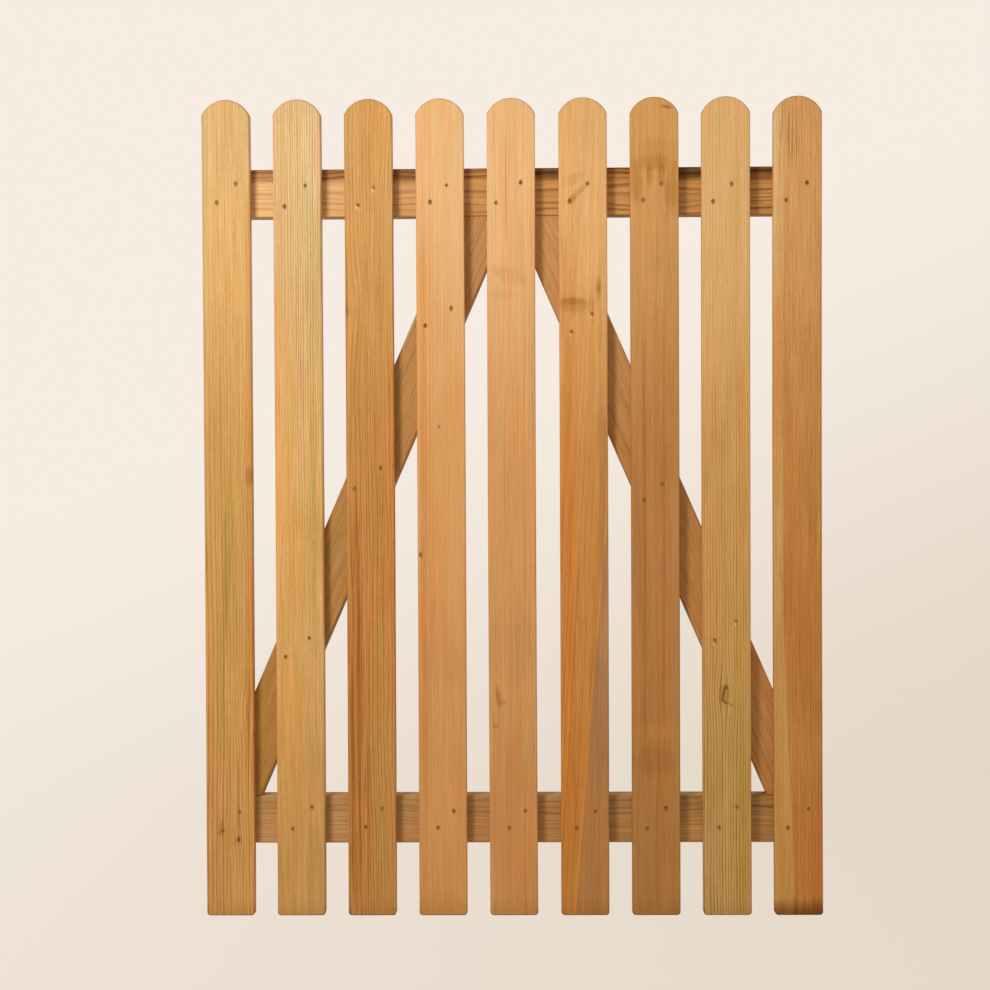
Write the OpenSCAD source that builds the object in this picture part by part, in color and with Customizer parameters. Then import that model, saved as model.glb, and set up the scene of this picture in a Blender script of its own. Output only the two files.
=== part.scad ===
// Timber garden gate leaf: round-topped pickets nailed to two rails and two
// diagonal braces that lean together at the top.
// Origin: bottom centre of the leaf. +X right, +Y from the pickets to the rails, +Z up.

/* [Leaf] */
// Width over the outer pickets, and length of both rails
gate_w = 900; // [860:10:1000]
// Height from the pickets' feet to their rounded tops
gate_h = 1190; // [1100:10:1400]

/* [Pickets] */
// Width of one picket
picket_w = 70; // [64:1:76]
// Thickness of one picket
picket_t = 20; // [16:1:25]
// Radius of the rounded top
top_r = 38; // [38:1:60]
// Radius of the two bottom corners
foot_r = 5; // [2:1:10]
// Rounding along the long edges
picket_edge_r = 2.5; // [1:0.5:4]

/* [Frame] */
// Width of the rails and braces, seen from the front
frame_w = 70; // [60:1:80]
// Thickness of the rails and braces
frame_t = 35; // [30:1:45]
// Rounding along the long edges of the rails and braces
frame_edge_r = 3; // [1:0.5:5]
// Height of the bottom rail's lower edge
bottom_rail_z = 103; // [90:1:160]
// Distance from the pickets' tops down to the top rail's upper edge
top_rail_drop = 99; // [80:1:160]
// Gap between the two braces where they meet under the top rail
apex_gap = 4; // [2:1:20]
// Distance from the leaf's side to a brace's outer lower corner
brace_inset = 3; // [2:1:30]

/* [Nails] */
// Diameter of a nail's shank
shank_d = 2.2; // [1.8:0.1:3]
// Diameter of a nail's head
head_d = 3.6; // [3.2:0.1:5]
// Length of a nail, head included
nail_len = 50; // [40:1:50]
// Depth that the heads are punched below the face
punch = 1; // [0.5:0.1:2]

/* [Hidden] */
$fn = 48;
COUNT = 9;

// Depths, front to back
depth = picket_t + frame_t;
face_y = -depth / 2;
frame_y = face_y + picket_t;

// Heights
top_rail_z = gate_h - top_rail_drop - frame_w;
brace_foot_z = bottom_rail_z + frame_w;
brace_rise = top_rail_z - brace_foot_z;
shoulder_z = gate_h - top_r + sqrt(top_r * top_r - picket_w * picket_w / 4);

// Slope of the braces: a level cut across one is frame_w / sin(angle) wide, and that
// width depends on the angle, so it is found in a few turns of the same sum
function cut_width(turns) =
    turns == 0 ? frame_w : frame_w / sin(atan2(brace_rise, brace_run(cut_width(turns - 1))));
function brace_run(cut) = gate_w / 2 - brace_inset - cut - apex_gap / 2;
level_cut = cut_width(5);
brace_angle = atan2(brace_rise, brace_run(level_cut));
brace_foot_x = gate_w / 2 - brace_inset - level_cut / 2;
stock_len = 3 * brace_rise;

// Nails: each is [across, up] in mm from the middle of its crossing, pickets 1 to 9
head_t = 1.2;
point_len = 4;
top_upper = [[15, 12], [12, 9], [8, 5], [10, 8], [14, 11], [7, 9], [10, 8], [8, 7], [13, 8]];
top_lower = [[-13, -15], [-18, -21], [-15, -20], [-14, -16], [-22, -18],
             [-19, -16], [-16, -15], [-19, -18], [-17, -17]];
bottom_upper = [[14, 14], [16, 21], [15, 19], [16, 15], [17, 15],
                [15, 14], [14, 19], [14, 20], [14, 17]];
bottom_lower = [[-11, -14], [-12, -11], [-9, -8], [-7, -9], [-7, -10],
                [-12, -10], [-13, -11], [-12, -10], [-16, -10]];
// Pickets 2, 3 and 4 cross the left brace, and 6, 7 and 8 the right one
brace_upper = [[14, 9], [16, 18], [16, 11], [13, 2], [10, -7], [13, 31]];
brace_lower = [[-21, -18], [-22, -12], [-22, -14], [-17, -24], [-16, -30], [-18, 3]];
LEFT_CROSSINGS = [2, 3, 4];
RIGHT_CROSSINGS = [6, 7, 8];

// Middle of picket i, counted from 1 at the left
function picket_x(i) = (i - (COUNT + 1) / 2) * (gate_w - picket_w) / (COUNT - 1);

// Height of a brace's centre line at picket i
function brace_z(i) = brace_foot_z + (brace_foot_x - abs(picket_x(i))) * tan(brace_angle);

// The nails of one picket, as [x, z] points on its face
function rail_nails(i) = [
    for (p = [top_upper[i - 1], top_lower[i - 1]])
        [picket_x(i) + p[0], top_rail_z + frame_w / 2 + p[1]],
    for (p = [bottom_upper[i - 1], bottom_lower[i - 1]])
        [picket_x(i) + p[0], bottom_rail_z + frame_w / 2 + p[1]]
];
function brace_nails(i) = [
    for (k = [0 : 5])
        if (concat(LEFT_CROSSINGS, RIGHT_CROSSINGS)[k] == i)
            for (p = [brace_upper[k], brace_lower[k]])
                [picket_x(i) + p[0], brace_z(i) + p[1]]
];
function nails_of(i) = concat(rail_nails(i), brace_nails(i));

// A rectangle with rounded corners, centred
module rounded_rect(w, h, r) {
    square([w - 2 * r, h], center = true);
    square([w, h - 2 * r], center = true);
    for (x = [r - w / 2, w / 2 - r], y = [r - h / 2, h / 2 - r])
        translate([x, y]) circle(r);
}

// The front outline of a picket: round top, square shoulders, softened feet
module picket_outline() {
    translate([-picket_w / 2, foot_r]) square([picket_w, shoulder_z - foot_r]);
    translate([foot_r - picket_w / 2, 0]) square([picket_w - 2 * foot_r, gate_h / 2]);
    for (x = [foot_r - picket_w / 2, picket_w / 2 - foot_r])
        translate([x, foot_r]) circle(foot_r);
    intersection() {
        translate([0, gate_h - top_r]) circle(top_r, $fn = 96);
        translate([-picket_w / 2, shoulder_z - top_r / 2]) square([picket_w, 2 * top_r]);
    }
}

// Wire nail driven along +Y, its head's top at y = 0
module nail() {
    rotate([-90, 0, 0]) {
        cylinder(d = head_d, h = head_t);
        cylinder(d = shank_d, h = nail_len - point_len);
        translate([0, 0, nail_len - point_len])
            cylinder(d1 = shank_d, d2 = shank_d / 4, h = point_len);
    }
}

// Nails driven at a list of [x, z] points
module nails(points) {
    for (p = points)
        translate([p[0], face_y + punch, p[1]]) nail();
}

// What nails take out of the timber, with the punched dents over their heads
module nail_holes(points) {
    nails(points);
    for (p = points)
        translate([p[0], face_y - punch, p[1]])
            rotate([-90, 0, 0]) cylinder(d = head_d, h = 2 * punch);
}

module picket_nails(i) {
    color("dimgray") nails(nails_of(i));
}

module picket(i) {
    color("peru")
        difference() {
            intersection() {
                translate([picket_x(i), frame_y, 0])
                    rotate([90, 0, 0]) linear_extrude(picket_t) picket_outline();
                translate([picket_x(i), face_y + picket_t / 2, 0])
                    linear_extrude(gate_h + 1) rounded_rect(picket_w, picket_t, picket_edge_r);
            }
            nail_holes(nails_of(i));
        }
}

// A rail across the whole leaf, its lower edge at height z
module rail(z) {
    color("sienna")
        difference() {
            translate([-gate_w / 2, frame_y + frame_t / 2, z + frame_w / 2])
                rotate([90, 0, 90])
                    linear_extrude(gate_w) rounded_rect(frame_t, frame_w, frame_edge_r);
            nail_holes([for (i = [1 : COUNT]) each rail_nails(i)]);
        }
}

// A brace on one side, -1 left or 1 right, cut level at both ends between the rails
module brace(side, crossings) {
    color("sienna")
        difference() {
            intersection() {
                translate([side * brace_foot_x, frame_y + frame_t / 2, brace_foot_z])
                    rotate([0, side * (brace_angle - 90), 0])
                        linear_extrude(stock_len, center = true)
                            rounded_rect(frame_w, frame_t, frame_edge_r);
                translate([-gate_w, frame_y - 1, brace_foot_z])
                    cube([2 * gate_w, frame_t + 2, brace_rise]);
            }
            nail_holes([for (i = crossings) each brace_nails(i)]);
        }
}

picket(1);  // picket_1
picket(2);  // picket_2
picket(3);  // picket_3
picket(4);  // picket_4
picket(5);  // picket_5
picket(6);  // picket_6
picket(7);  // picket_7
picket(8);  // picket_8
picket(9);  // picket_9
rail(top_rail_z);  // top_rail
rail(bottom_rail_z);  // bottom_rail
brace(-1, LEFT_CROSSINGS);  // left_brace
brace(1, RIGHT_CROSSINGS);  // right_brace
picket_nails(1);  // picket_1_nails
picket_nails(2);  // picket_2_nails
picket_nails(3);  // picket_3_nails
picket_nails(4);  // picket_4_nails
picket_nails(5);  // picket_5_nails
picket_nails(6);  // picket_6_nails
picket_nails(7);  // picket_7_nails
picket_nails(8);  // picket_8_nails
picket_nails(9);  // picket_9_nails
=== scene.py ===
"""Looks of a timber garden gate leaf: eased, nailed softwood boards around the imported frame."""

import math
from dataclasses import dataclass, field

import bpy
from mathutils import Matrix, Vector, geometry, noise


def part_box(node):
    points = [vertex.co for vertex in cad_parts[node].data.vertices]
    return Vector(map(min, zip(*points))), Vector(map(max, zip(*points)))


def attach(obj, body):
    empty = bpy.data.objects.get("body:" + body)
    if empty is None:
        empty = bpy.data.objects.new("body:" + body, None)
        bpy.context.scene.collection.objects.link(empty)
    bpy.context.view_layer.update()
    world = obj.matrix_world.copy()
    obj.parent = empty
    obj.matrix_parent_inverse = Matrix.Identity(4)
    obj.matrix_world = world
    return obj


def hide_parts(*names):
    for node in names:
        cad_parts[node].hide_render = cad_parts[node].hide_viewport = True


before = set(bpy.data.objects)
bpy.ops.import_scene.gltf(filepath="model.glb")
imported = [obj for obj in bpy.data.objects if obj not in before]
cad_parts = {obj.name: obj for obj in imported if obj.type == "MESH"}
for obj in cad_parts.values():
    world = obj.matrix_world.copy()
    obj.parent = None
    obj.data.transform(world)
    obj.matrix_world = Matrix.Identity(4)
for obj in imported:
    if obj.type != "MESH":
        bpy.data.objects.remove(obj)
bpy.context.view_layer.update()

MM = 0.001

# ---------------------------------------------------------------- boards' looks


@dataclass
class Knot:
    """A knot at x across and z along the board, in mm; pull is how far the grain bends round it."""
    x: float
    z: float
    radius: float
    pull: float = 12
    dark: float = 0.8


@dataclass
class TintPatch:
    """A soft-edged patch, in mm; the board's colour is multiplied by tint there. turn is in degrees. Most are
    stains in the wood; two on picket 5 are a painted soft shadow.
    """
    x: float
    z: float
    half_x: float
    half_z: float
    tint: tuple
    turn: float = 0


@dataclass
class Band:
    """A long stretch of other wood on one side of a line that runs from x_foot to x_high."""
    side: int
    x_foot: float
    x_high: float
    z_high: float
    tint: tuple
    soft: float = 2
    line: float = 0


LATE_WOOD = (0.60, 0.46, 0.32)


@dataclass
class Wood:
    """How one board looks. Lengths in mm, colours linear.

    line is how dark the late wood is, (at the foot, at the head). even, 0 to 1, is how alike the
    growth rings are.
    """
    head_tone: tuple
    mid_tone: tuple
    foot_tone: tuple
    pith: tuple
    ring: float
    wander: float
    line: tuple
    late_tint: tuple = LATE_WOOD
    even: float = 0
    lean: float = 0
    green: float = 0
    streak: float = 0.16
    crook: float = 0
    foot_shade: float = 0.1
    knots: list = field(default_factory=list)
    tint_patches: list = field(default_factory=list)
    bands: list = field(default_factory=list)


GREEN_TINT = (0.86, 0.98, 0.78)
WOODS = {
    "picket_1": Wood(
        (0.62, 0.39, 0.155), (0.58, 0.31, 0.085), (0.64, 0.32, 0.09),
        pith=(-75, 30), ring=4.4, wander=3, line=(0.95, 0.3), even=0.5, green=0.4, crook=0.6,
        knots=[Knot(11.7, 112, 3.3, 9, 1.0), Knot(37, 646, 4, 18, 0.0), Knot(30, 300, 1, 14, 0.0)],
        tint_patches=[TintPatch(2, 560, 9, 150, (0.86, 0.95, 0.72)), TintPatch(-12, 330, 8, 100, (0.88, 0.97, 0.78)),
                TintPatch(31, 600, 7, 560, (1.02, 0.90, 0.74)), TintPatch(-4, 500, 2, 190, (0.78, 0.72, 0.56)),
                TintPatch(32, 642, 7, 15, (0.78, 0.70, 0.58)), TintPatch(12, 150, 1.8, 95, (0.76, 0.64, 0.5)),
                TintPatch(-13, 128, 4, 12, (0.78, 0.68, 0.56)), TintPatch(0, 966, 44, 110, (1.09, 1.06, 1.04))],
    ),
    "picket_2": Wood(
        (0.67, 0.44, 0.21), (0.68, 0.385, 0.125), (0.58, 0.31, 0.09),
        pith=(-56, 20), ring=3.3, wander=2.4, line=(0.4, 1.1), even=0.7, green=0.3, crook=0.5,
        tint_patches=[TintPatch(12, 1120, 24, 120, (1.06, 1.10, 1.15)), TintPatch(20, 890, 9, 170, (0.92, 1.0, 0.94)),
                TintPatch(20, 560, 9, 120, (0.90, 0.97, 0.86)), TintPatch(0, 675, 42, 75, (1.03, 1.08, 1.18)),
                TintPatch(0, 530, 42, 75, (0.97, 0.93, 0.86))],
        bands=[Band(-1, 8, -12, 1100, (1.02, 0.96, 0.88), 6, -0.5)],
    ),
    "picket_3": Wood(
        (0.60, 0.32, 0.095), (0.53, 0.235, 0.05), (0.54, 0.255, 0.065),
        pith=(-44, 20), ring=3.7, wander=6, line=(0.9, 0.7), late_tint=(0.60, 0.42, 0.26), even=0.3,
        green=0.1, crook=0.6, knots=[Knot(-35, 885, 6, 26, 0.4)],
        tint_patches=[TintPatch(-22, 260, 12, 330, (0.92, 0.78, 0.6)), TintPatch(12, 250, 12, 260, (0.98, 1.03, 0.94)),
                TintPatch(30, 500, 6, 500, (1.04, 0.92, 0.8)), TintPatch(-28, 190, 2, 200, (0.72, 0.56, 0.38)),
                TintPatch(-17, 330, 1.6, 240, (0.78, 0.62, 0.45)), TintPatch(-5, 120, 1.5, 110, (0.8, 0.66, 0.5))],
    ),
    "picket_4": Wood(
        (0.75, 0.44, 0.19), (0.65, 0.325, 0.105), (0.64, 0.30, 0.09),
        pith=(-80, 26), ring=3.8, wander=2.4, line=(0.38, 0.36), even=0.5, streak=0.085, crook=0.3,
        knots=[Knot(-2.6, 714, 1.1, 2, 0.9), Knot(-31, 528, 2.4, 7, 0.8)],
        tint_patches=[TintPatch(-25, 560, 6, 600, (0.96, 0.84, 0.72)), TintPatch(-12, 600, 3, 600, (1.04, 0.92, 0.8)),
                TintPatch(0, 390, 42, 60, (0.97, 0.93, 0.93)), TintPatch(0, 12, 45, 22, (0.94, 0.94, 0.84))],
        bands=[Band(1, 2, 2, 1100, (1.0, 1.0, 1.0), 12, -0.22)],
    ),
    "picket_5": Wood(
        (0.77, 0.455, 0.20), (0.64, 0.31, 0.10), (0.61, 0.30, 0.10),
        pith=(62, 34), ring=3.2, wander=6, line=(0.34, 0.34), streak=0.085, crook=-0.9,
        knots=[Knot(-24, 296, 4, 12, 0.0)],
        # Of the patches below, the second and the third are a painted soft shadow across the board, darker to
        # the lower left.
        tint_patches=[TintPatch(-8, 1040, 1.0, 90, (0.8, 0.68, 0.56)), TintPatch(-6, 934, 34, 12, (0.93, 0.89, 0.83), -24),
                TintPatch(-14, 905, 20, 9, (0.95, 0.92, 0.88)), TintPatch(0, 120, 40, 150, (0.98, 0.88, 0.8)),
                TintPatch(-24, 294, 5, 9, (0.90, 1.08, 1.0)), TintPatch(-22, 320, 4, 15, (0.72, 0.64, 0.48), 8),
                TintPatch(-16, 312, 6, 2.5, (0.8, 0.72, 0.56), 30), TintPatch(-26, 278, 4, 4, (0.84, 0.76, 0.6)),
                TintPatch(0, 390, 42, 60, (0.94, 0.93, 0.94)), TintPatch(0, 12, 45, 22, (0.95, 0.94, 0.88))],
    ),
    "picket_6": Wood(
        (0.73, 0.405, 0.15), (0.58, 0.25, 0.055), (0.55, 0.22, 0.035),
        pith=(-70, 24), ring=3.0, wander=2.4, line=(0.6, 0.14), even=0.3, lean=0.06, streak=0.12, crook=0.4,
        knots=[Knot(-14, 1074, 3, 11, 0.0), Knot(21, 913, 3, 9, 0.25)],
        tint_patches=[TintPatch(-6, 1053, 23, 5, (0.84, 0.74, 0.6), 44),
                TintPatch(-14, 1072, 17, 10, (0.9, 0.84, 0.74), 30),
                TintPatch(-14, 1042, 8, 5, (0.84, 0.74, 0.6), 44),
                TintPatch(-10, 890, 25, 12, (0.84, 0.76, 0.62)), TintPatch(-12, 895, 18, 5, (0.84, 0.74, 0.6)),
                TintPatch(22, 915, 5, 18, (0.78, 0.68, 0.54)), TintPatch(27, 640, 6, 190, (0.8, 0.84, 0.95)),
                TintPatch(-22, 500, 14, 420, (1.04, 0.88, 0.7)), TintPatch(20, 310, 16, 110, (0.84, 0.84, 0.92))],
        bands=[Band(1, -17, 37, 647, (1.12, 1.14, 1.3), 1.0, -0.3),
               Band(1, -14.5, 39, 647, (0.74, 0.81, 1.22), 1.0, 0.0)],
    ),
    "picket_7": Wood(
        (0.63, 0.32, 0.10), (0.475, 0.205, 0.055), (0.44, 0.195, 0.045),
        pith=(20, 55), ring=4.6, wander=6, line=(0.26, 0.18), green=0.15, streak=0.10, crook=0.2,
        knots=[Knot(20, 1176, 3.5, 9, 0.0)],
        tint_patches=[TintPatch(2, 1108, 46, 26, (0.93, 0.90, 0.76)), TintPatch(0, 1094, 38, 13, (0.88, 0.84, 0.64)),
                TintPatch(-26, 1066, 9, 34, (0.80, 0.74, 0.54)), TintPatch(25, 1060, 9, 38, (0.78, 0.70, 0.48)),
                TintPatch(-7, 1078, 6, 16, (0.82, 0.76, 0.58)), TintPatch(11, 1080, 5, 16, (0.84, 0.77, 0.6)),
                TintPatch(19, 1175, 9, 3, (0.62, 0.5, 0.34), -12), TintPatch(3, 944, 26, 13, (0.92, 0.98, 0.98)),
                TintPatch(0, 268, 38, 11, (1.12, 1.08, 1.04)),
                TintPatch(0, 225, 38, 22, (0.92, 0.86, 0.8)), TintPatch(-26, 520, 7, 120, (0.88, 0.94, 0.95)),
                TintPatch(-16, 500, 3, 330, (0.9, 0.78, 0.66)), TintPatch(12, 560, 3, 280, (0.92, 0.8, 0.7))],
    ),
    "picket_8": Wood(
        (0.73, 0.43, 0.17), (0.63, 0.33, 0.10), (0.57, 0.325, 0.10),
        pith=(-84, 12), ring=4.1, wander=1.8, line=(1.25, 0.3), late_tint=(0.56, 0.50, 0.34), even=0.8,
        green=0.35, streak=0.11, crook=-0.7, knots=[Knot(-4, 322, 3, 14, 0.0)],
        tint_patches=[TintPatch(20, 250, 14, 280, (0.97, 1.0, 0.88)), TintPatch(-4, 322, 9, 16, (0.9, 0.82, 0.64)),
                TintPatch(-2, 333, 3.5, 3.5, (0.50, 0.38, 0.22), 30), TintPatch(-6, 323, 2, 9, (0.48, 0.36, 0.2), -8),
                TintPatch(-4, 312, 5, 1.8, (0.55, 0.42, 0.26), -35),
                TintPatch(5, 308, 6, 1.5, (0.7, 0.6, 0.42), -30)],
    ),
    "picket_9": Wood(
        (0.68, 0.35, 0.12), (0.56, 0.24, 0.055), (0.55, 0.21, 0.04),
        pith=(74, 18), ring=3.3, wander=2, line=(0.75, 0.5), even=0.6, green=0.1, crook=-1.0,
        foot_shade=0.58,
        tint_patches=[TintPatch(-23, 1150, 0.8, 40, (0.6, 0.62, 0.5)), TintPatch(-13, 1142, 0.8, 50, (0.55, 0.6, 0.48)),
                TintPatch(-8, 1135, 0.8, 48, (0.62, 0.64, 0.52)), TintPatch(-2, 1118, 0.8, 40, (0.62, 0.62, 0.5)),
                TintPatch(-29, 860, 10, 360, (1.0, 0.84, 0.70)), TintPatch(6, 455, 40, 150, (0.96, 0.92, 0.79)),
                TintPatch(0, 8, 45, 16, (0.92, 0.89, 0.68))],
        bands=[Band(-1, -5, -22, 430, (1.05, 1.34, 1.75), 0.8, -0.5)],
    ),
    "top_rail": Wood(
        (0.58, 0.29, 0.082), (0.555, 0.285, 0.088), (0.74, 0.47, 0.20),
        pith=(58, 18), ring=6.5, wander=11, line=(0.5, 1.0), late_tint=(0.44, 0.32, 0.2), lean=-0.012,
        knots=[Knot(-6, 240, 4, 20, 0.5), Knot(4, 640, 3, 18, 0.4)],
        tint_patches=[TintPatch(-25, 190, 11, 40, (0.96, 0.92, 0.95)), TintPatch(-25, 294, 11, 40, (0.75, 0.72, 0.64)),
                TintPatch(-25, 398, 11, 40, (1.30, 1.52, 1.70)), TintPatch(-25, 502, 11, 40, (0.56, 0.62, 0.76)),
                TintPatch(-25, 606, 11, 40, (1.28, 1.54, 1.60)), TintPatch(-25, 709, 11, 40, (0.45, 0.53, 0.46)),
                TintPatch(-25, 813, 11, 40, (0.73, 0.78, 0.66))],
        bands=[Band(-1, -19, -15, 900, (0.62, 0.50, 0.39), 4, 0.6),
               Band(-1, -29, -26, 900, (0.8, 0.7, 0.6), 2, 0)],
    ),
    "bottom_rail": Wood(
        (0.48, 0.245, 0.075), (0.54, 0.275, 0.09), (0.59, 0.32, 0.12),
        pith=(-64, 30), ring=4.6, wander=9, line=(0.6, 0.95), green=0.3,
        knots=[Knot(-18, 866, 3.5, 14, 0.6)], tint_patches=[TintPatch(18, 709, 14, 40, (1.18, 1.22, 1.18))],
        bands=[Band(-1, -6, -6, 900, (0.91, 0.92, 0.90), 6, 0)],
    ),
    # The braces' green is partly the treated wood's own and partly painted in, for the olive cast of the
    # shade on them.
    "left_brace": Wood(
        (0.48, 0.245, 0.08), (0.49, 0.25, 0.07), (0.475, 0.235, 0.05),
        pith=(66, 24), ring=3.0, wander=5, line=(0.6, 0.6), green=0.6,
    ),
    "right_brace": Wood(
        (0.57, 0.29, 0.10), (0.53, 0.255, 0.07), (0.58, 0.265, 0.08),
        pith=(-58, 26), ring=3.1, wander=5, line=(0.6, 0.6), green=0.45,
        knots=[Knot(-34, 500, 3, 8, 0.8)],
    ),
}

# Nails with splintered, pale wood round the dent: picket number to which of its nails, from the foot
CHIPPED = {3: (4, 5), 6: (2, 3), 8: (2, 3)}

# ---------------------------------------------------------------- board shapes

PICKET_COUNT = 9
PICKET_EASE = 2.3 * MM
WEAR_SWING = 0.35
WEAR_MOST = 1.0 / 0.92
FRAME_EASE = 3.0 * MM
END_EASE = 1.0 * MM
# The ends' rounded edges are darkened: painted shade on the edge at the foot, which faces down, and a thin
# darker rim along the head. Below: the edge's fall at which this is full, and how much more of it the foot
# gets.
END_DARK_FALL = 0.9 * MM
FOOT_EDGE_SHADE = 1.9
TOP_RADIUS = 38 * MM
FOOT_RADIUS = 5 * MM
SIDE_STEP = 8 * MM
RIM_INSETS = (0.06, 0.2, 0.42, 0.7, 1.0, 1.5)
FIELD_STEP = 7 * MM
BACK_STEP = 16 * MM
WALL_ROWS = 4

FACE_PLAY = 0.15 * MM
DENT_DEPTH = 1.15 * MM
HEAD_RADIUS = 1.8 * MM
DENT_RADIUS = 2.5 * MM
DENT_RINGS = tuple(r * MM for r in (1.0, 1.7, 1.9, 2.1, 2.35, 2.7, 3.2, 4.0, 5.2))
DENT_SIDES = 20
DENT_REACH = 14 * MM
HEAD_CLEAR = 1.02
DENT_RAGGED = 0.22
LIP_RISE = 0.16 * MM
LIP_PLACE = 1.25 * DENT_RADIUS
LIP_WIDTH = 0.5 * MM
HALO_REACH = 3.6 * MM
SMEAR_DARK = 0.45
SMEAR_HALF = (2.0 * MM, 7.5 * MM)
TORN_PLACE = (-1.6 * MM, -2.2 * MM)
TORN_HALF = (1.7 * MM, 4.2 * MM)
TORN_DEPTH = 0.35 * MM
TINY = 1e-6

FACE_SWELL = 0.10 * MM
SWELL_PACE = (22, 6)
BOARD_SEED = 7.0
KNOT_STRETCH = 1.4
KNOT_RISE = 0.14 * MM
KNOT_MOAT = (1.2, 0.4)
KNOT_MOAT_DEPTH = 0.8

# How the meshes are laid out: gaps kept free as shares of a step, and the widest mitre
RIM_CLEAR = 0.35
NAIL_CLEAR = 0.3
MITRE_LEAST = 0.4
MERGE_DISTANCE = 1e-7
SHARP_ANGLE = 50
CORNER_STEPS = 8
TOP_STEPS = 40
SLOPE_TURNS = 6
# Zones at a board's ends where the rounded edge is darkened, from the foot and from the head: painted shade
# at the foot, a thin darker rim at the head
FOOT_END = (4 * MM, 12 * MM)
HEAD_END = (30 * MM, 22 * MM)
# How a nail node's mesh is read: how flat a head is, and how far apart two nails are at least
HEAD_FLAT = 0.01 * MM
NAILS_APART = 5 * MM


@dataclass
class Board:
    """One board in its own axes: x across, y from front to back, z along it, in metres."""
    name: str
    place: Matrix
    outline: list
    thickness: float
    edge_drop: callable
    nails: list
    wood: Wood


def smooth(low, high, value):
    """0 below low, 1 above high, eased between."""
    t = min(1.0, max(0.0, (value - low) / (high - low)))
    return t * t * (3 - 2 * t)


def quarter_round(distance, radius):
    """How far a rounded edge falls back from the face at a distance in from the outline."""
    if distance >= radius:
        return 0.0
    reach = radius - max(distance, 0.0)
    return radius - math.sqrt(max(radius * radius - reach * reach, 0.0))


def along(start, end, step):
    """Points from start up to, and without, end, about a step apart."""
    count = max(1, round((end - start).length / step))
    return [start.lerp(end, i / count) for i in range(count)]


def arc(centre, radius, first, last, count):
    """Points on an arc between two angles in degrees, the last one left out."""
    angles = [math.radians(first + (last - first) * i / count) for i in range(count)]
    return [centre + radius * Vector((math.cos(a), math.sin(a))) for a in angles]


def picket_outline(width, height):
    """Front outline of a picket, anticlockwise from its right foot corner."""
    half = width / 2
    top_centre = Vector((0, height - TOP_RADIUS))
    spring = math.degrees(math.acos(half / TOP_RADIUS))
    shoulder = top_centre.y + TOP_RADIUS * math.sin(math.radians(spring))
    right_foot = Vector((half - FOOT_RADIUS, FOOT_RADIUS))
    left_foot = Vector((FOOT_RADIUS - half, FOOT_RADIUS))
    points = arc(right_foot, FOOT_RADIUS, -90, 0, CORNER_STEPS)
    points += along(Vector((half, FOOT_RADIUS)), Vector((half, shoulder)), SIDE_STEP)
    points += arc(top_centre, TOP_RADIUS, spring, 180 - spring, TOP_STEPS)
    points += along(Vector((-half, shoulder)), Vector((-half, FOOT_RADIUS)), SIDE_STEP)
    points += arc(left_foot, FOOT_RADIUS, 180, 270, CORNER_STEPS)
    points += along(Vector((left_foot.x, 0)), Vector((right_foot.x, 0)), SIDE_STEP)
    return points


def picket_edge_drop(width, height):
    """How far the face falls back at a point of a picket, from its rounded edges."""
    half = width / 2
    top_centre = height - TOP_RADIUS

    def drop(x, z):
        distance = min(half - abs(x), z)
        if z > top_centre:
            distance = min(distance, TOP_RADIUS - math.hypot(x, z - top_centre))
        corner_x = abs(x) - (half - FOOT_RADIUS)
        if corner_x > 0 and z < FOOT_RADIUS:
            distance = FOOT_RADIUS - math.hypot(corner_x, FOOT_RADIUS - z)
        wear = 1 + WEAR_SWING * noise.noise(Vector((x * 20, 0.5, z * 9)))
        return quarter_round(distance, PICKET_EASE * min(wear, WEAR_MOST))

    return drop


def polygon_outline(corners):
    """Outline of a straight-sided board, anticlockwise."""
    ends = corners[1:] + corners[:1]
    return [p for a, b in zip(corners, ends) for p in along(a, b, SIDE_STEP)]


def polygon_edge_drop(corners, eases):
    """The same for a straight-sided board, with one rounding radius for each edge."""
    edges = []
    for a, b, ease in zip(corners, corners[1:] + corners[:1], eases):
        run = (b - a).normalized()
        edges.append((a, Vector((-run.y, run.x)), ease))

    def drop(x, z):
        p = Vector((x, z))
        return max(quarter_round((p - a).dot(inward), ease) for a, inward, ease in edges)

    return drop


def inset(points, distance):
    """The outline moved inwards by a distance."""
    moved = []
    for i, p in enumerate(points):
        before = (p - points[i - 1]).normalized()
        after = (points[(i + 1) % len(points)] - p).normalized()
        normal = Vector((-before.y - after.y, before.x + after.x)).normalized()
        widen = max(MITRE_LEAST, Vector((-after.y, after.x)).dot(normal))
        moved.append(p + normal * (distance / widen))
    return moved


def field_points(points, step, clear, holes):
    """A staggered field of points inside the outline, off its rim and off the nails."""
    low_x, high_x = min(p.x for p in points), max(p.x for p in points)
    low_z, high_z = min(p.y for p in points), max(p.y for p in points)
    rim = inset(points, clear)
    found = []
    for row in range(1, int((high_z - low_z) / step)):
        z = low_z + row * step
        for column in range(int((high_x - low_x) / step) + 2):
            p = Vector((low_x + (column + 0.5 * (row % 2)) * step, z))
            near_nail = any((p - h).length < DENT_RINGS[-1] + NAIL_CLEAR * step for h in holes)
            if not near_nail and inside(p, rim):
                found.append(p)
    return found


def inside(point, polygon):
    """Whether a point lies in a polygon, by counting the sides crossed to its right."""
    crossings = 0
    for a, b in zip(polygon, polygon[1:] + polygon[:1]):
        if (a.y > point.y) != (b.y > point.y):
            if point.x < a.x + (point.y - a.y) / (b.y - a.y) * (b.x - a.x):
                crossings += 1
    return crossings % 2 == 1


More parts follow.
